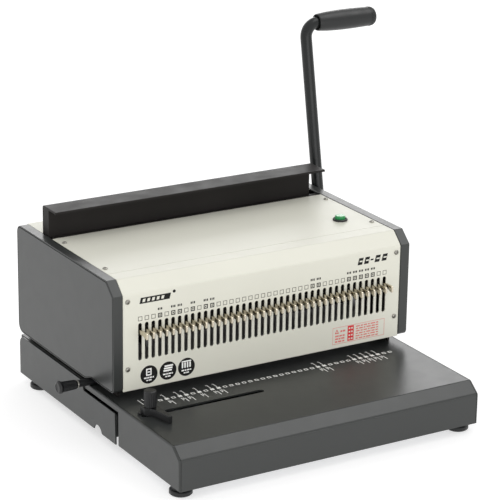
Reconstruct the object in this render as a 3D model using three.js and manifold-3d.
// Desktop wire-comb punching and closing machine: a low platform that the paper lies on, a cased
// punching unit with forty slots and hooks, and a closing bar that a side lever pulls down.
//
// Machine frame, in millimetres: x runs across the machine with 0 in its middle, y runs from the
// front cover's face (0) to the back, and z is 0 on the platform's top.

import * as THREE from 'three';
import { mergeVertices } from 'three/addons/utils/BufferGeometryUtils.js';
import Module from 'manifold-3d';

const wasm = await Module();
wasm.setup();

// ---- Driving dimensions -------------------------------------------------------------------

const GAP = 0.3;
const PITCH = 25.4 / 3;
const HOLES = 40;
const PLATE = 2;
const SHEET = 1.5;

// Platform
const BASE_HALF = 198.7;
const BASE_FRONT = -151.4;
const BASE_REAR = 248;
const BASE_HEIGHT = 49;
const BEVEL_DEPTH = 15.5;
const BEVEL_DROP = 12.3;
const FOOT_RADIUS = 13.2;
const FOOT_HEIGHT = 11.3;
const FOOT_X = 185.2;
const FOOT_FRONT_Y = -131;
const FOOT_REAR_Y = 218;

// Casing
const COVER_HALF = 186.9;
const SIDE_INNER = 187.2;
const SIDE_OUTER = 199.7;
const SIDE_WALL = 2.5;
const SIDE_FRONT = -0.8;
const COVER_BOTTOM = 11.3;
const COVER_TOP = 141.4;
const CHAMFER_DEPTH = 15.4;
const CHAMFER_DROP = 14.7;
const SEAM_Y = 36;
const TOP_COVER_REAR = 179;
const REAR_COVER_FRONT = 204.6;
const REAR_COVER_REAR = 246.8;
const SLOT_TOP = 90.7;
const SLOT_BOTTOM = 45.8;
const SLOT_WIDTH = 4.7;
const SCREW_X = 181;
const SCREW_HOLE = 2.1;
const SCREW_LENGTH = 6;
const FRONT_SCREWS = [118.6, 37.7];
const TOP_SCREWS = [54, 157];
const BUTTON_X = 151;
const BUTTON_Y = 78;
const INLET_X = 150;
const SWITCH_X = 110;
const REAR_PANEL_Z = 32;

// Chassis plates that stand inside the casing
const FRAME_INNER = 183.7;
const FRAME_OUTER = 186.7;
const FRAME_FRONT = 2;
const FRAME_REAR = 244;
const FRAME_TOP = 138.5;
const BEARING_RADIUS = 11.9;

// Chip tray
const TRAY_TOP = -13.5;
const TRAY_BOTTOM = -40;
const TRAY_END_X = 118;
const TRAY_FRONT = 9;
const TRAY_REAR = 233;
const TRAY_STEP = 77;
const TRAY_STEP_TOP = 80;
const TRAY_FACE_LOW = -11.7;
const TRAY_FACE_HIGH = -0.6;

// Hooks
const RAIL_Y = 8;
const RAIL_Z = 80;
const RAIL_POST_RADIUS = 3;
const HOOK_WIDTH = 2.6;
const HOOK_REACH = 17.8;
const HOOK_CREST = 3;
const HOOK_TIP = 4.4;
const BAR_HALF_HEIGHT = 6;

// Punching unit
const PUNCH_Y = 50.5;
const PUNCH_HALF = 181;
const DIE_FRONT = 34;
const DIE_REAR = 54.8;
const PIN = 3.6;
const PIN_HOLE = 4.4;
const POST_X = 174.5;
const PUNCH_POST_Y = 46.5;
const DRIVE_Y = 51;
const DRIVE_Z = 86;
const DRIVE_RADIUS = 8;
const THROW = 4.5;
const DISC_RADIUS = 14;
const STROKE = 9;
const YOKE_X = 140;
const GEAR_MODULE = 2;
const GEAR_TEETH = 32;
const PINION_TEETH = 11;
const GEAR_X = 112;
const MOTOR_ANGLE = -19.5;
const MARGIN_Y = 62;
const MARGIN_Z = 4.6;

// Closing bar and lever
const BAR_HALF = 186.6;
const FLANGE_FRONT = 168.7;
const WEB_FRONT = 187;
const WEB_REAR = 203.8;
const BAR_TOP = 176.1;
const BAR_SHEET = 2.6;
const WEB_BOTTOM = 125;
const WEB_RIGHT = 175;
const LEVER_Y = 212;
const LEVER_Z = 95;
const LEVER_X = 209;
const LEVER_LEAN = 10.7;
const SHAFT_RADIUS = 6;
const CRANK_RADIUS = 21.4;
const CRANK_ANGLE = 142.5;
const CRANK_PIN = 4;
const CRANK_X = 153;
const TUBE_RADIUS = 7.4;
const BEND_RADIUS = 18;
const GRIP_Z = 341;
const GRIP_START = 226;
const GRIP_END = 312.4;
const HUB_RADIUS = 14;
// How far a Bezier curve's inner points stand off its ends to follow a quarter circle.
const QUARTER_TURN_PULL = 0.5523;

// Side stop
const STOP_X = -178;
const STOP_Y = -47.5;
const GROOVE_START = -189;
const GROOVE_END = -30.5;
const GROOVE_WIDTH = 8;
const STOP_HEIGHT = 9.3;
const STOP_REACH = 34;
const STOP_EDGE = 9.5;
const STOP_KNOB_TOP = 29.6;
const STOP_KNOB_RADIUS = 7.2;

// ---- Materials ----------------------------------------------------------------------------

const finish = (color, roughness, metalness) =>
  new THREE.MeshStandardMaterial({ color, roughness, metalness });
const CREAM = () => finish(0xddd9c9, 0.45, 0.1);
const CHARCOAL = () => finish(0x4a4d4f, 0.5, 0.2);
const BLACK = () => finish(0x242222, 0.55, 0.2);
const STEEL = () => finish(0x9a9c9e, 0.35, 0.9);
const NICKEL = () => finish(0xcfc8b8, 0.2, 1);
const PLASTIC = () => finish(0x232626, 0.5, 0);
const RUBBER = () => finish(0x1b1b1b, 0.85, 0);
const GREEN = () => finish(0x28aa64, 0.4, 0);
const BOARD = () => finish(0x2f6b3c, 0.6, 0);

// ---- Shape helpers ------------------------------------------------------------------------

// Shape-plane axes (u, v) and the extrusion direction, mapped to machine axes.
const ALONG_X = new THREE.Matrix4().set(0, 0, 1, 0, 1, 0, 0, 0, 0, 1, 0, 0, 0, 0, 0, 1);
const ALONG_Y = new THREE.Matrix4().set(0, 1, 0, 0, 0, 0, 1, 0, 1, 0, 0, 0, 0, 0, 0, 1);

// A closed outline from corners [u, v, rounding radius].
function outline(corners, shape = new THREE.Shape()) {
  const count = corners.length;
  const at = (index) => new THREE.Vector2(...corners[(index + count) % count].slice(0, 2));
  corners.forEach(([u, v, radius = 0], index) => {
    const start = at(index).add(at(index - 1).sub(at(index)).setLength(radius));
    const end = at(index).add(at(index + 1).sub(at(index)).setLength(radius));
    if (index === 0) shape.moveTo(start.x, start.y);
    else shape.lineTo(start.x, start.y);
    if (radius > 0) shape.quadraticCurveTo(u, v, end.x, end.y);
  });
  shape.closePath();
  return shape;
}

function extrude(shape, from, to, curveSegments = 2) {
  const options = { depth: to - from, bevelEnabled: false, curveSegments };
  return new THREE.ExtrudeGeometry(shape, options).translate(0, 0, from);
}

// Corners are [y, z] for extrudeX, [x, z] for extrudeY and [x, y] for extrudeZ.
const extrudeX = (corners, from, to) => extrude(outline(corners), from, to).applyMatrix4(ALONG_X);
const extrudeZ = (corners, from, to) => extrude(outline(corners), from, to);
function extrudeY(corners, from, to) {
  const swapped = corners.map(([x, z, radius = 0]) => [z, x, radius]);
  return extrude(outline(swapped), from, to).applyMatrix4(ALONG_Y);
}

function block([x0, x1], [y0, y1], [z0, z1]) {
  const box = new THREE.BoxGeometry(x1 - x0, y1 - y0, z1 - z0);
  return box.translate((x0 + x1) / 2, (y0 + y1) / 2, (z0 + z1) / 2);
}

// A round bar along X, Y or Z between two stations, about a centre line.
function rodX(radius, x0, x1, y, z, sides = 16) {
  const rod = new THREE.CylinderGeometry(radius, radius, x1 - x0, sides).rotateZ(Math.PI / 2);
  return rod.translate((x0 + x1) / 2, y, z);
}

function rodY(radius, y0, y1, x, z, sides = 16) {
  const rod = new THREE.CylinderGeometry(radius, radius, y1 - y0, sides);
  return rod.translate(x, (y0 + y1) / 2, z);
}

function rodZ(radius, z0, z1, x, y, sides = 16) {
  const rod = new THREE.CylinderGeometry(radius, radius, z1 - z0, sides).rotateX(Math.PI / 2);
  return rod.translate(x, y, (z0 + z1) / 2);
}

// A turned piece: profile points are [radius, height] up the +Z axis from the given centre.
function turned(profile, [x, y, z], segments = 16) {
  const points = profile.map(([radius, height]) => new THREE.Vector2(radius, height));
  return new THREE.LatheGeometry(points, segments).rotateX(Math.PI / 2).translate(x, y, z);
}

// The same, with the profile's heights running along +X.
function turnedX(profile, [x, y, z], segments = 16) {
  return turned(profile, [0, 0, 0], segments).rotateY(Math.PI / 2).translate(x, y, z);
}

function solid(geometry) {
  const plain = geometry.clone();
  plain.deleteAttribute('normal');
  plain.deleteAttribute('uv');
  const merged = mergeVertices(plain, 1e-4);
  const vertProperties = new Float32Array(merged.attributes.position.array);
  const triVerts = new Uint32Array(merged.index.array);
  return new wasm.Manifold(new wasm.Mesh({ numProp: 3, vertProperties, triVerts }));
}

function geometryOf(body) {
  const mesh = body.getMesh();
  const geometry = new THREE.BufferGeometry();
  geometry.setAttribute('position', new THREE.BufferAttribute(mesh.vertProperties, 3));
  geometry.setIndex(new THREE.BufferAttribute(mesh.triVerts, 1));
  return geometry;
}

const joined = (shapes) => shapes.map(solid).reduce((whole, piece) => whole.add(piece));
const join = (...shapes) => geometryOf(joined(shapes));
const cut = (shape, ...tools) => geometryOf(solid(shape).subtract(joined(tools)));

const machine = new THREE.Group();

function add(name, geometry, material) {
  const mesh = new THREE.Mesh(geometry, material);
  mesh.name = name;
  machine.add(mesh);
}

const holeX = (index) => (index - (HOLES - 1) / 2) * PITCH;
const eachHole = (make) => Array.from({ length: HOLES }, (_, index) => make(holeX(index)));
const SIDES = [['left', -1], ['right', 1]];
const span = (side, near, far) => (side < 0 ? [-far, -near] : [near, far]);

// ---- Platform -----------------------------------------------------------------------------

function platform() {
  const front = BASE_FRONT + BEVEL_DEPTH;
  const skin = [
    [BASE_REAR, 0], [front, 0, 3], [BASE_FRONT, -BEVEL_DROP, 3],
    [BASE_FRONT, -BASE_HEIGHT], [BASE_REAR, -BASE_HEIGHT],
  ];
  const hollow = [
    [BASE_REAR - PLATE, -PLATE], [front + 0.8, -PLATE, 2], [BASE_FRONT + PLATE, -BEVEL_DROP - 0.8, 2],
    [BASE_FRONT + PLATE, -BASE_HEIGHT - 1], [BASE_REAR - PLATE, -BASE_HEIGHT - 1],
  ];
  const half = GROOVE_WIDTH / 2;
  const groove = [
    [GROOVE_START, STOP_Y - half, half], [GROOVE_END, STOP_Y - half, half],
    [GROOVE_END, STOP_Y + half, half], [GROOVE_START, STOP_Y + half, half],
  ];
  const trayMouth = [-BASE_HALF - 1, -BASE_HALF + PLATE + 0.2];
  return cut(
    extrudeX(skin, -BASE_HALF, BASE_HALF),
    extrudeX(hollow, -BASE_HALF + PLATE, BASE_HALF - PLATE),
    extrudeZ(groove, -5, 5),
    block([-177, 177], [DIE_FRONT - GAP, 71], [-5, 5]),
    block(trayMouth, [-10.5, BASE_REAR + 1], [-60, TRAY_FACE_LOW + 0.4]),
    block(trayMouth, [TRAY_STEP - 0.5, BASE_REAR + 1], [TRAY_FACE_LOW - 0.3, 1]),
  );
}

function bottomPlate() {
  const edge = BASE_HALF - PLATE - GAP;
  const front = BASE_FRONT + PLATE + GAP;
  const rear = BASE_REAR - PLATE - GAP;
  return extrudeZ([
    [-edge, front], [edge, front], [edge, rear], [-edge, rear],
    [-edge, 200], [130, 200], [130, -15], [-edge, -15],
  ], -BASE_HEIGHT, -BASE_HEIGHT + PLATE);
}

function foot(x, y) {
  const top = -BASE_HEIGHT - GAP;
  const bottom = -BASE_HEIGHT - FOOT_HEIGHT;
  return turned([
    [0, bottom], [FOOT_RADIUS - 1.5, bottom], [FOOT_RADIUS, bottom + 1.5],
    [FOOT_RADIUS - 1, top], [0, top],
  ], [x, y, 0]);
}

// Finger notch in the tray's end panel, a shallow arc of a circle.
function fingerNotch(x0, x1) {
  return rodX(10.5, x0, x1, 41, -BASE_HEIGHT - 3, 20);
}

function chipTray() {
  const wall = 1.5;
  const face = extrudeX([
    [-3, -BASE_HEIGHT - 0.3], [BASE_REAR, -BASE_HEIGHT - 0.3], [BASE_REAR, TRAY_FACE_HIGH, 5],
    [TRAY_STEP_TOP, TRAY_FACE_HIGH], [TRAY_STEP, TRAY_FACE_LOW], [-3, TRAY_FACE_LOW],
  ], -BASE_HALF, -BASE_HALF + PLATE);
  const shell = block(
    [-BASE_HALF + PLATE - 0.1, TRAY_END_X],
    [TRAY_FRONT, TRAY_REAR],
    [TRAY_BOTTOM, TRAY_TOP],
  );
  const room = block(
    [-BASE_HALF + PLATE + wall, TRAY_END_X - wall],
    [TRAY_FRONT + wall, TRAY_REAR - wall],
    [TRAY_BOTTOM + wall, TRAY_TOP + 1],
  );
  const end = cut(face, fingerNotch(-BASE_HALF - 1, -BASE_HALF + PLATE + 1));
  return join(end, cut(shell, room));
}

// An angle rail under the platform; its lip carries one edge of the tray.
function trayRail(wallY, lipY) {
  const [y0, y1] = [Math.min(wallY, lipY), Math.max(wallY, lipY)];
  const upright = wallY < lipY ? [wallY, wallY + PLATE] : [wallY - PLATE, wallY];
  return join(
    block([-190, TRAY_END_X + 8], upright, [TRAY_BOTTOM - 2.4, -PLATE - GAP]),
    block([-190, TRAY_END_X + 8], [y0, y1], [TRAY_BOTTOM - 2.4, TRAY_BOTTOM - 0.5]),
  );
}

add('base_platform', platform(), CHARCOAL());
add('base_bottom_plate', bottomPlate(), STEEL());
for (const [side, sign] of SIDES) {
  add(`foot_front_${side}`, foot(sign * FOOT_X, FOOT_FRONT_Y), RUBBER());
  add(`foot_rear_${side}`, foot(sign * FOOT_X, FOOT_REAR_Y), RUBBER());
}
add('chip_tray', chipTray(), CHARCOAL());
add('tray_rail_front', trayRail(TRAY_FRONT - 3, TRAY_FRONT + 7), STEEL());
add('tray_rail_rear', trayRail(TRAY_REAR + 3, TRAY_REAR - 7), STEEL());

// ---- Chassis ------------------------------------------------------------------------------

function sideFrame(side) {
  const x = span(side, FRAME_INNER, FRAME_OUTER);
  const plate = extrudeX([
    [FRAME_FRONT, 13], [FRAME_FRONT + 14, 13], [FRAME_FRONT + 14, GAP], [FRAME_REAR, GAP, 2],
    [FRAME_REAR, FRAME_TOP, 8], [207, FRAME_TOP], [207, 110], [184, 110],
    [184, 116], [178, 116], [178, FRAME_TOP], [FRAME_FRONT + 16, FRAME_TOP], [FRAME_FRONT, 122],
  ], ...x);
  const flangeX = span(side, 175, FRAME_INNER + 0.1);
  const cuts = [
    rodX(BEARING_RADIUS + GAP, x[0] - 1, x[1] + 1, DRIVE_Y, DRIVE_Z),
    rodX(SHAFT_RADIUS + 0.5, x[0] - 1, x[1] + 1, LEVER_Y, LEVER_Z),
    block([x[0] - 1, x[1] + 1], [MARGIN_Y - 4, MARGIN_Y + 4], [-1, MARGIN_Z + 4]),
    ...FRONT_SCREWS.map((z) => rodY(SCREW_HOLE, 0, 8, side * SCREW_X, z, 8)),
    ...TOP_SCREWS.map((y) => rodZ(SCREW_HOLE, 130, 140, side * SCREW_X, y, 8)),
  ];
  const plain = join(
    plate,
    block(flangeX, [2.1, 4], [110, 122]),
    block(flangeX, [2.1, 4], [30, 46]),
    block(flangeX, [46, 166], [FRAME_TOP - 1.9, FRAME_TOP]),
  );
  return cut(plain, ...cuts);
}

function railGuide(side) {
  const arms = span(side, 170.5, FRAME_INNER - GAP);
  return join(
    rodZ(RAIL_POST_RADIUS, 33, 107, side * POST_X, RAIL_Y, 10),
    block(arms, [4.6, 11.4], [29, 34]),
    block(arms, [4.6, 11.4], [106, 111]),
  );
}

function driveBearing(side) {
  const [x0, x1] = span(side, 179, FRAME_OUTER);
  const flange = span(side, 179, FRAME_INNER - GAP);
  return cut(
    join(rodX(BEARING_RADIUS, x0, x1, DRIVE_Y, DRIVE_Z), rodX(16, ...flange, DRIVE_Y, DRIVE_Z)),
    rodX(DRIVE_RADIUS + 0.25, x0 - 1, x1 + 1, DRIVE_Y, DRIVE_Z),
  );
}

for (const [name, side] of SIDES) {
  add(`side_frame_${name}`, sideFrame(side), BLACK());
  add(`rail_guide_${name}`, railGuide(side), STEEL());
  add(`drive_bearing_${name}`, driveBearing(side), STEEL());
}
add('frame_tie_rod', rodX(5, -FRAME_INNER + GAP, FRAME_INNER - GAP, 17, 126, 12), STEEL());

// ---- Casing -------------------------------------------------------------------------------

const sideCorners = (inset) => [
  [SIDE_FRONT + inset, COVER_BOTTOM + inset, 6 - inset],
  [57, COVER_BOTTOM + inset],
  [72, 6 + inset],
  [BASE_REAR - inset, 6 + inset, 11 - inset],
  [BASE_REAR - inset, COVER_TOP + 0.3 - inset, 9 - inset],
  [CHAMFER_DEPTH + inset * 0.4, COVER_TOP + 0.3 - inset],
  [SIDE_FRONT + inset, COVER_TOP - CHAMFER_DROP - inset * 0.4],
];

function sideCover(side) {
  const [x0, x1] = span(side, SIDE_INNER, SIDE_OUTER);
  const hollow = side < 0 ? [x0 + SIDE_WALL, x1 + 1] : [x0 - 1, x1 - SIDE_WALL];
  const shell = cut(extrudeX(sideCorners(0), x0, x1), extrudeX(sideCorners(SIDE_WALL), ...hollow));
  return side < 0 ? shell : cut(shell, rodX(SHAFT_RADIUS + 2, x0, x1 + 1, LEVER_Y, LEVER_Z));
}

function frontCover() {
  const sheet = extrudeX([
    [0, COVER_BOTTOM], [0, COVER_TOP - CHAMFER_DROP, 3], [CHAMFER_DEPTH, COVER_TOP, 3],
    [SEAM_Y, COVER_TOP], [SEAM_Y, COVER_TOP - SHEET],
    [CHAMFER_DEPTH + 0.6, COVER_TOP - SHEET, 2.4], [SHEET, COVER_TOP - CHAMFER_DROP - 0.6, 2.4],
    [SHEET, COVER_BOTTOM],
  ], -COVER_HALF, COVER_HALF);
  const half = SLOT_WIDTH / 2;
  const narrow = half - 1.1;
  const slots = eachHole((x) => extrudeY([
    [x - narrow, SLOT_BOTTOM], [x + narrow, SLOT_BOTTOM],
    [x + half, SLOT_BOTTOM + 1.1], [x + half, SLOT_TOP - 1.1],
    [x + narrow, SLOT_TOP], [x - narrow, SLOT_TOP],
    [x - half, SLOT_TOP - 1.1], [x - half, SLOT_BOTTOM + 1.1],
  ], -1, SHEET + 1));
  const screwHoles = FRONT_SCREWS.flatMap((z) => [
    rodY(SCREW_HOLE, -1, SHEET + 1, SCREW_X, z, 8),
    rodY(SCREW_HOLE, -1, SHEET + 1, -SCREW_X, z, 8),
  ]);
  return cut(sheet, ...slots, ...screwHoles);
}

function topCover() {
  const sheet = extrudeX([
    [SEAM_Y + 0.5, COVER_TOP], [TOP_COVER_REAR, COVER_TOP, 1.2], [TOP_COVER_REAR, COVER_TOP - 14],
    [TOP_COVER_REAR - SHEET, COVER_TOP - 14], [TOP_COVER_REAR - SHEET, COVER_TOP - SHEET],
    [SEAM_Y + 0.5, COVER_TOP - SHEET],
  ], -COVER_HALF + 4, COVER_HALF - 4);
  const wings = block(
    [-COVER_HALF, COVER_HALF],
    [SEAM_Y + 0.5, TOP_COVER_REAR],
    [COVER_TOP - SHEET, COVER_TOP],
  );
  const screwHoles = TOP_SCREWS.flatMap((y) => [
    rodZ(SCREW_HOLE, 135, 145, SCREW_X, y, 8),
    rodZ(SCREW_HOLE, 135, 145, -SCREW_X, y, 8),
  ]);
  return cut(join(sheet, wings), rodZ(8.1, 135, 145, BUTTON_X, BUTTON_Y), ...screwHoles);
}

function rearCover() {
  const sheet = extrudeX([
    [REAR_COVER_FRONT, COVER_TOP], [REAR_COVER_REAR, COVER_TOP, 3], [REAR_COVER_REAR, 3],
    [REAR_COVER_REAR - SHEET, 3], [REAR_COVER_REAR - SHEET, COVER_TOP - SHEET, 2],
    [REAR_COVER_FRONT, COVER_TOP - SHEET],
  ], -COVER_HALF, COVER_HALF);
  const openings = [
    block([INLET_X - 14.2, INLET_X + 14.2], [240, 250], [REAR_PANEL_Z - 10.2, REAR_PANEL_Z + 10.2]),
    block([SWITCH_X - 9.7, SWITCH_X + 9.7], [240, 250], [REAR_PANEL_Z - 6.7, REAR_PANEL_Z + 6.7]),
  ];
  for (let row = 0; row < 12; row += 1) {
    const x = -150 + row * 10;
    openings.push(block([x - 2.2, x + 2.2], [240, 250], [40, 84]));
  }
  return cut(sheet, ...openings);
}

function coverScrew() {
  const profile = [
    [0, -SCREW_LENGTH], [1.7, -SCREW_LENGTH], [1.7, 0.2], [3.3, 0.2], [2.6, 1.6], [0, 2],
  ];
  return turned(profile, [0, 0, 0], 10);
}

for (const [name, side] of SIDES) {
  add(`side_cover_${name}`, sideCover(side), CHARCOAL());
  FRONT_SCREWS.forEach((z, row) => {
    const screw = coverScrew().rotateX(Math.PI / 2).translate(side * SCREW_X, 0, z);
    add(`front_screw_${name}_${['upper', 'lower'][row]}`, screw, STEEL());
  });
  TOP_SCREWS.forEach((y, row) => {
    const screw = coverScrew().translate(side * SCREW_X, y, COVER_TOP);
    add(`top_screw_${name}_${['front', 'rear'][row]}`, screw, STEEL());
  });
}
add('front_cover', frontCover(), CREAM());
add('top_cover', topCover(), CREAM());
add('rear_cover', rearCover(), CREAM());

// ---- Hooks --------------------------------------------------------------------------------

function hookRail() {
  const bar = block(
    [-PUNCH_HALF + 1, PUNCH_HALF - 1],
    [RAIL_Y - 3, RAIL_Y + 6],
    [RAIL_Z - BAR_HALF_HEIGHT, RAIL_Z + BAR_HALF_HEIGHT],
  );
  const hooks = eachHole((x) => extrudeX([
    [RAIL_Y - 2, RAIL_Z + 2.7], [-HOOK_REACH + 4, RAIL_Z + 3.9], [-HOOK_REACH, RAIL_Z + HOOK_CREST],
    [-HOOK_REACH + 0.3, RAIL_Z - HOOK_TIP], [-HOOK_REACH + 2.6, RAIL_Z - HOOK_TIP + 0.5],
    [-HOOK_REACH + 8, RAIL_Z - 2], [RAIL_Y - 2, RAIL_Z - 2.3],
  ], x - HOOK_WIDTH / 2, x + HOOK_WIDTH / 2));
  const sleeves = SIDES.map(([, side]) => rodZ(
    RAIL_POST_RADIUS + 0.35,
    RAIL_Z - BAR_HALF_HEIGHT - 1,
    RAIL_Z + BAR_HALF_HEIGHT + 1,
    side * POST_X,
    RAIL_Y,
    12,
  ));
  return cut(join(bar, ...hooks), ...sleeves);
}

add('hook_rail', hookRail(), NICKEL());

// ---- Punching unit ------------------------------------------------------------------------

const squares = (size, z0, z1) => eachHole((x) => block(
  [x - size / 2, x + size / 2],
  [PUNCH_Y - size / 2, PUNCH_Y + size / 2],
  [z0, z1],
));

const diePlate = () => cut(
  block([-176.6, 176.6], [DIE_FRONT, DIE_REAR], [-8, -0.2]),
  ...squares(PIN_HOLE, -9, 1),
);

function pinGuidePlate() {
  const slab = block([-PUNCH_HALF, PUNCH_HALF], [DIE_FRONT, DIE_REAR], [3.2, 11]);
  const plate = cut(slab, ...squares(PIN_HOLE, 2, 12));
  const posts = SIDES.map(([, side]) => rodZ(4, 10.5, 72, side * POST_X, PUNCH_POST_Y, 12));
  return join(plate, ...posts);
}

// Beam with forty square pins and two yokes, whose windows ride round the eccentric discs.
function punchBeam() {
  const beam = block([-PUNCH_HALF, PUNCH_HALF], [40, 60], [24, 50]);
  const pins = squares(PIN, 4.5, 24.1);
  const reach = DISC_RADIUS + THROW + 0.4;
  const yokes = SIDES.map(([, side]) => block(
    span(side, YOKE_X - 4, YOKE_X + 4),
    [DRIVE_Y - 26, DRIVE_Y + 26],
    [49.9, 123],
  ));
  const windows = SIDES.map(([, side]) => block(
    span(side, YOKE_X - 5, YOKE_X + 5),
    [DRIVE_Y - reach, DRIVE_Y + reach],
    [DRIVE_Z - reach, DRIVE_Z + reach + STROKE],
  ));
  const posts = SIDES.map(([, side]) => rodZ(4.35, 20, 52, side * POST_X, PUNCH_POST_Y, 12));
  return cut(join(beam, ...pins, ...yokes), ...windows, ...posts);
}

function eccentricShaft() {
  const discs = SIDES.map(([, side]) => {
    const [x0, x1] = span(side, YOKE_X - 4, YOKE_X + 4);
    return rodX(DISC_RADIUS, x0, x1, DRIVE_Y, DRIVE_Z + THROW, 20);
  });
  return join(rodX(DRIVE_RADIUS, -189, 189, DRIVE_Y, DRIVE_Z), ...discs);
}

// A gear's outline: straight-sided teeth, slim enough to run in mesh with backlash.
function gearOutline(teeth, turn) {
  const pitchRadius = (GEAR_MODULE * teeth) / 2;
  const root = pitchRadius - 1.15 * GEAR_MODULE;
  const tip = pitchRadius + 0.85 * GEAR_MODULE;
  const step = (2 * Math.PI) / teeth;
  const polar = (radius, angle) => [radius * Math.cos(angle), radius * Math.sin(angle)];
  const corners = [];
  for (let tooth = 0; tooth < teeth; tooth += 1) {
    const middle = tooth * step + turn;
    corners.push(polar(root, middle - 0.33 * step));
    corners.push(polar(tip, middle - 0.11 * step));
    corners.push(polar(tip, middle + 0.11 * step));
    corners.push(polar(root, middle + 0.33 * step));
  }
  return corners;
}

const CENTRES = (GEAR_MODULE * (GEAR_TEETH + PINION_TEETH)) / 2 + 0.2;
const MESH_ANGLE = THREE.MathUtils.degToRad(MOTOR_ANGLE);
const MOTOR_Y = DRIVE_Y + CENTRES * Math.cos(MESH_ANGLE);
const MOTOR_Z = DRIVE_Z + CENTRES * Math.sin(MESH_ANGLE);

function driveGear() {
  const blank = extrudeX(gearOutline(GEAR_TEETH, MESH_ANGLE), GEAR_X, GEAR_X + 10);
  const bore = rodX(DRIVE_RADIUS + GAP, GEAR_X - 1, GEAR_X + 11, DRIVE_Y, DRIVE_Z);
  return cut(blank.translate(0, DRIVE_Y, DRIVE_Z), bore);
}

function motorPinion() {
  const halfTooth = Math.PI / PINION_TEETH;
  const teeth = gearOutline(PINION_TEETH, MESH_ANGLE + Math.PI + halfTooth);
  const pinion = extrudeX(teeth, GEAR_X - 1, GEAR_X + 11).translate(0, MOTOR_Y, MOTOR_Z);
  return join(pinion, rodX(4, 96, GEAR_X + 14, MOTOR_Y, MOTOR_Z, 16));
}

function motorHousing() {
  const can = rodX(27, 22, 104, MOTOR_Y, MOTOR_Z, 20);
  const cap = rodX(12, 14, 23, MOTOR_Y, MOTOR_Z, 12);
  return cut(join(can, cap), rodX(4.6, 94, 106, MOTOR_Y, MOTOR_Z, 16));
}

function motorMount() {
  const plate = extrudeX([
    [68, GAP], [124, GAP], [124, 90], [114, 101], [76, 101], [68, 92],
  ], 104.3, 107.8);
  const sole = block([82, 104.4], [72, 120], [GAP, 3.3]);
  return cut(join(plate, sole), rodX(6.5, 100, 110, MOTOR_Y, MOTOR_Z, 16));
}

add('die_plate', diePlate(), STEEL());
add('pin_guide_plate', pinGuidePlate(), STEEL());
add('punch_beam', punchBeam(), STEEL());
add('eccentric_shaft', eccentricShaft(), STEEL());
add('drive_gear', driveGear(), STEEL());
add('motor_pinion', motorPinion(), STEEL());
add('motor_housing', motorHousing(), STEEL());
add('motor_mount', motorMount(), STEEL());

// ---- Margin stop --------------------------------------------------------------------------

function marginShaft() {
  const stops = [-150, -50, 50, 150].map((x) => rodX(5, x - 4, x + 4, MARGIN_Y, MARGIN_Z + 1.5, 12));
  return join(rodX(3.5, -217, 180, MARGIN_Y, MARGIN_Z, 12), ...stops);
}

function marginKnob() {
  const body = turnedX([
    [3.8, 0], [5, 0], [5.6, 2], [6.4, 19], [8.5, 21], [8.5, 23],
    [7.2, 24], [0, 24], [0, 19], [3.8, 19], [3.8, 0],
  ], [0, 0, 0]);
  return body.rotateZ(Math.PI).translate(-215, MARGIN_Y, MARGIN_Z);
}

add('margin_shaft', marginShaft(), STEEL());
add('margin_knob', marginKnob(), PLASTIC());

// ---- Closing bar and lever ----------------------------------------------------------------

function closingBed() {
  return block(
    [-FRAME_INNER + GAP, FRAME_INNER - GAP],
    [TOP_COVER_REAR + 0.5, WEB_FRONT - 0.7],
    [118, COVER_TOP - 0.2],
  );
}

function closingBar() {
  const inside = BAR_TOP - BAR_SHEET;
  const bar = extrudeX([
    [FLANGE_FRONT, inside], [WEB_FRONT, inside],
    [WEB_FRONT, WEB_BOTTOM], [WEB_FRONT + BAR_SHEET, WEB_BOTTOM],
    [WEB_FRONT + BAR_SHEET, inside - 1], [WEB_REAR - BAR_SHEET, inside - 1],
    [WEB_REAR - BAR_SHEET, WEB_BOTTOM], [WEB_REAR, WEB_BOTTOM],
    [WEB_REAR, BAR_TOP, 2.5], [FLANGE_FRONT, BAR_TOP],
  ], -BAR_HALF, BAR_HALF);
  const shortened = block(
    [WEB_RIGHT, BAR_HALF + 1],
    [FLANGE_FRONT - 1, WEB_REAR + 1],
    [WEB_BOTTOM - 1, inside],
  );
  const frameNotch = block(
    [-BAR_HALF - 1, -FRAME_INNER + 1.2],
    [WEB_FRONT - 1, WEB_REAR + 1],
    [WEB_BOTTOM - 1, 139],
  );
  return cut(bar, shortened, frameNotch);
}

// Fixed crosspiece whose two posts run inside the closing bar's channel.
function barGuide() {
  const middle = (WEB_FRONT + WEB_REAR) / 2;
  const beam = block([-FRAME_INNER + GAP, FRAME_INNER - GAP], [WEB_FRONT, WEB_REAR], [44, 56]);
  const posts = SIDES.map(([, side]) => rodZ(4, 55, 140, side * 118, middle, 16));
  return join(beam, ...posts);
}

const CRANK = THREE.MathUtils.degToRad(CRANK_ANGLE);
const CRANK_Y = LEVER_Y + CRANK_RADIUS * Math.cos(CRANK);
const CRANK_Z = LEVER_Z + CRANK_RADIUS * Math.sin(CRANK);

// Bracket inside the closing bar's channel, with a level slot that the crank's pin runs in.
function liftBracket(side) {
  const x = span(side, CRANK_X - 6, CRANK_X - 2);
  const top = BAR_TOP - BAR_SHEET - 1 - GAP;
  const plate = extrudeX([
    [183, CRANK_Z - 9], [204, CRANK_Z - 9], [204, CRANK_Z + 9], [199.5, CRANK_Z + 9], [199.5, top],
    [190, top], [190, CRANK_Z + 9], [183, CRANK_Z + 9],
  ], ...x);
  const half = CRANK_PIN + 0.55;
  const slot = extrudeX([
    [186, CRANK_Z - half, 3.5], [CRANK_Y + half + 0.4, CRANK_Z - half, 3.5],
    [CRANK_Y + half + 0.4, CRANK_Z + half, 3.5], [186, CRANK_Z + half, 3.5],
  ], x[0] - 1, x[1] + 1);
  return cut(plate, slot);
}

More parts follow.
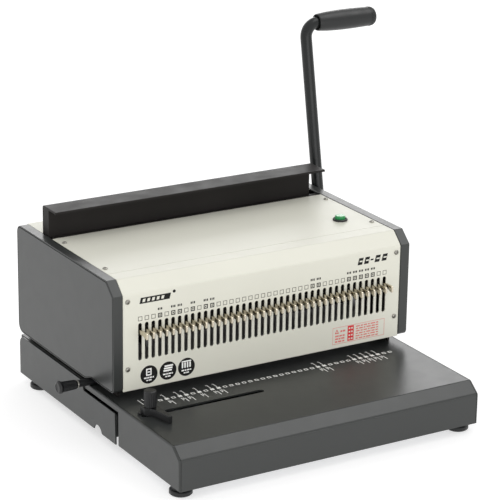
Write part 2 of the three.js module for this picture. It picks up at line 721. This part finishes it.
function crank(side) {
  const x = span(side, CRANK_X, CRANK_X + 6);
  const pin = span(side, CRANK_X - 7, CRANK_X + 1);
  const reach = new THREE.Vector2(CRANK_Y - LEVER_Y, CRANK_Z - LEVER_Z);
  const across = new THREE.Vector2(-reach.y, reach.x).setLength(5);
  const corner = (along, sign) => [
    LEVER_Y + reach.x * along + across.x * sign,
    LEVER_Z + reach.y * along + across.y * sign,
  ];
  const arm = extrudeX([corner(0, 1), corner(1, 1), corner(1, -1), corner(0, -1)], ...x);
  const bosses = [rodX(8.7, ...x, LEVER_Y, LEVER_Z), rodX(6, ...x, CRANK_Y, CRANK_Z, 12)];
  const whole = join(arm, ...bosses, rodX(CRANK_PIN, ...pin, CRANK_Y, CRANK_Z, 12));
  return cut(whole, rodX(SHAFT_RADIUS + GAP, x[0] - 1, x[1] + 1, LEVER_Y, LEVER_Z));
}

const LEAN = THREE.MathUtils.degToRad(LEVER_LEAN);
const UP_THE_LEVER = new THREE.Vector3(0, Math.sin(LEAN), Math.cos(LEAN));
const LEVER_REACH = (GRIP_Z - LEVER_Z) / Math.cos(LEAN);
const LEVER_FOOT = new THREE.Vector3(LEVER_X, LEVER_Y, LEVER_Z);
const alongLever = (distance) => LEVER_FOOT.clone().addScaledVector(UP_THE_LEVER, distance);

function leverHub() {
  return cut(
    rodX(HUB_RADIUS, 200.3, 217.5, LEVER_Y, LEVER_Z, 20),
    rodX(SHAFT_RADIUS + GAP, 199, 216, LEVER_Y, LEVER_Z),
  );
}

function leverTube() {
  const bendStart = alongLever(LEVER_REACH - BEND_RADIUS);
  const bendEnd = alongLever(LEVER_REACH).add(new THREE.Vector3(BEND_RADIUS, 0, 0));
  const length = LEVER_REACH - BEND_RADIUS - HUB_RADIUS - GAP;
  const straight = new THREE.CylinderGeometry(TUBE_RADIUS, TUBE_RADIUS, length, 14);
  straight.rotateX(Math.PI / 2 - LEAN);
  const middle = (LEVER_REACH - BEND_RADIUS + HUB_RADIUS + GAP) / 2;
  straight.translate(...alongLever(middle).toArray());
  const pull = BEND_RADIUS * QUARTER_TURN_PULL;
  const bend = new THREE.CubicBezierCurve3(
    bendStart,
    bendStart.clone().addScaledVector(UP_THE_LEVER, pull),
    bendEnd.clone().add(new THREE.Vector3(-pull, 0, 0)),
    bendEnd,
  );
  const section = new THREE.Shape().absarc(0, 0, TUBE_RADIUS, 0, 2 * Math.PI);
  const elbow = new THREE.ExtrudeGeometry(section, { steps: 6, curveSegments: 7, extrudePath: bend });
  const handle = rodX(TUBE_RADIUS, bendEnd.x - 0.4, GRIP_END - 14, bendEnd.y, bendEnd.z, 14);
  return join(straight, elbow, handle);
}

function leverGrip() {
  const length = GRIP_END - GRIP_START;
  const bore = TUBE_RADIUS + GAP;
  const end = alongLever(LEVER_REACH);
  return turnedX([
    [bore, 0], [10.4, 0], [11, 5], [12.6, length * 0.24], [13, length * 0.42], [12.3, length - 22],
    [12.4, length - 8], [10.4, length - 3.4], [6, length - 0.6], [0, length],
    [0, length - 13], [bore, length - 13], [bore, 0],
  ], [GRIP_START, end.y, end.z]);
}

add('closing_bed', closingBed(), BLACK());
add('closing_bar', closingBar(), BLACK());
add('bar_guide', barGuide(), STEEL());
for (const [name, side] of SIDES) {
  add(`lift_bracket_${name}`, liftBracket(side), STEEL());
  add(`crank_${name}`, crank(side), STEEL());
}
add('lever_shaft', rodX(SHAFT_RADIUS, -190, 215, LEVER_Y, LEVER_Z), STEEL());
add('lever_hub', leverHub(), BLACK());
add('lever_tube', leverTube(), BLACK());
add('lever_grip', leverGrip(), RUBBER());

// ---- Electrics ----------------------------------------------------------------------------

function circuitBoard() {
  const parts = [
    block([-136, -106], [118, 148], [11, 34]),
    block([-96, -78], [120, 136], [11, 26]),
    block([-72, -54], [120, 136], [11, 26]),
    block([-98, -52], [150, 162], [11, 20]),
    rodZ(7, 11, 36, -120, 162, 12),
  ];
  const corners = [[-138, 113], [-34, 113], [-138, 171], [-34, 171]];
  const standoffs = corners.map(([x, y]) => rodZ(3, GAP, 10, x, y, 6));
  return join(block([-143, -29], [108, 176], [9.8, 11.4]), ...parts, ...standoffs);
}

function powerInlet() {
  const shell = block(
    [INLET_X - 14, INLET_X + 14],
    [220, REAR_COVER_REAR + 2.6],
    [REAR_PANEL_Z - 10, REAR_PANEL_Z + 10],
  );
  const rimY = [REAR_COVER_REAR + GAP, REAR_COVER_REAR + 2.6];
  const rim = block([INLET_X - 20, INLET_X + 20], rimY, [REAR_PANEL_Z - 13, REAR_PANEL_Z + 13]);
  const socket = extrudeY([
    [INLET_X - 12, REAR_PANEL_Z - 8], [INLET_X + 12, REAR_PANEL_Z - 8], [INLET_X + 12, REAR_PANEL_Z + 3],
    [INLET_X + 7, REAR_PANEL_Z + 8], [INLET_X - 7, REAR_PANEL_Z + 8], [INLET_X - 12, REAR_PANEL_Z + 3],
  ], 228, REAR_COVER_REAR + 4);
  const blades = [[-7, -2], [7, -2], [0, 3]].map(([x, z]) => block(
    [INLET_X + x - 1, INLET_X + x + 1],
    [227, 243],
    [REAR_PANEL_Z + z - 2.2, REAR_PANEL_Z + z + 2.2],
  ));
  return join(cut(join(shell, rim), socket), ...blades);
}

const ROCKER_Y = REAR_COVER_REAR - 2;

function switchHousing() {
  const shell = block(
    [SWITCH_X - 9.4, SWITCH_X + 9.4],
    [228, REAR_COVER_REAR + 1.6],
    [REAR_PANEL_Z - 6.4, REAR_PANEL_Z + 6.4],
  );
  const rimY = [REAR_COVER_REAR + GAP, REAR_COVER_REAR + 1.6];
  const rim = block([SWITCH_X - 11.5, SWITCH_X + 11.5], rimY, [REAR_PANEL_Z - 8.5, REAR_PANEL_Z + 8.5]);
  const well = block(
    [SWITCH_X - 8.2, SWITCH_X + 8.2],
    [236, REAR_COVER_REAR + 3],
    [REAR_PANEL_Z - 5, REAR_PANEL_Z + 5],
  );
  return cut(join(shell, rim), well);
}

function switchRocker() {
  const turn = THREE.MathUtils.degToRad(9);
  const rocker = extrudeZ([
    [-7.4, -2.4, 1], [0, -5], [7.4, -2.4, 1], [7.2, 3.4, 1], [0, 2], [-7.2, 3.4, 1],
  ], REAR_PANEL_Z - 4.6, REAR_PANEL_Z + 4.6);
  return rocker.rotateZ(turn).translate(SWITCH_X, ROCKER_Y, 0);
}

function buttonHousing() {
  return turned([
    [0, -24], [6.6, -24], [6.6, -14], [7.8, -14], [7.8, GAP],
    [9.1, GAP], [8.9, 2], [7.3, 2.6], [7.1, 2], [7.1, -7], [0, -7],
  ], [BUTTON_X, BUTTON_Y, COVER_TOP]);
}

function buttonCap() {
  const profile = [[0, -2.6], [6.8, -2.6], [6.8, 4.6], [6, 5.6], [3.4, 6], [0, 6.1]];
  return turned(profile, [BUTTON_X, BUTTON_Y, COVER_TOP]);
}

add('circuit_board', circuitBoard(), BOARD());
add('power_inlet', powerInlet(), PLASTIC());
add('power_switch_housing', switchHousing(), PLASTIC());
add('power_switch_rocker', switchRocker(), PLASTIC());
add('button_housing', buttonHousing(), PLASTIC());
add('button_cap', buttonCap(), GREEN());

// ---- Side stop ----------------------------------------------------------------------------

function stopSlider() {
  const front = STOP_Y - STOP_REACH;
  const edge = STOP_X + STOP_EDGE;
  const body = extrudeZ([
    [STOP_X - 8.4, STOP_Y + 10, 2], [STOP_X - 8.4, STOP_Y - 1, 2], [STOP_X - 2, STOP_Y - 4.5, 3],
    [STOP_X + 1, STOP_Y - 17, 3], [edge - 4.6, front, 0.8], [edge, front, 0.8], [edge, STOP_Y + 10, 2],
  ], GAP, STOP_HEIGHT);
  const lug = extrudeZ([
    [STOP_X - 12.4, STOP_Y + 3, 2], [STOP_X, STOP_Y + 3],
    [STOP_X, STOP_Y + 9], [STOP_X - 12.4, STOP_Y + 9, 2],
  ], GAP, 3);
  const keyHalf = GROOVE_WIDTH / 2 - 0.4;
  const key = block([STOP_X - 6, STOP_X + 8], [STOP_Y - keyHalf, STOP_Y + keyHalf], [-2, 1]);
  return cut(join(body, lug, key), rodZ(2.5, -3, STOP_HEIGHT + 1, STOP_X, STOP_Y, 10));
}

function stopKnob() {
  return join(
    rodZ(STOP_KNOB_RADIUS, STOP_HEIGHT + GAP, STOP_KNOB_TOP, STOP_X, STOP_Y),
    rodZ(2.1, -12, STOP_HEIGHT + 0.5, STOP_X, STOP_Y, 10),
  );
}

const stopNut = () => cut(
  block([STOP_X - 9, STOP_X + 9], [STOP_Y - 7, STOP_Y + 7], [-7.3, -PLATE - GAP]),
  rodZ(2.5, -8, 0, STOP_X, STOP_Y, 10),
);

add('side_stop_slider', stopSlider(), PLASTIC());
add('side_stop_knob', stopKnob(), PLASTIC());
add('side_stop_nut', stopNut(), STEEL());

// ---- Placing ------------------------------------------------------------------------------

// The origin is the middle of the whole machine's outline, on the surface it stands on.
const reach = new THREE.Box3().setFromObject(machine, true);
const centre = reach.getCenter(new THREE.Vector3());
machine.position.set(-centre.x, -centre.y, -reach.min.z);

export default machine;
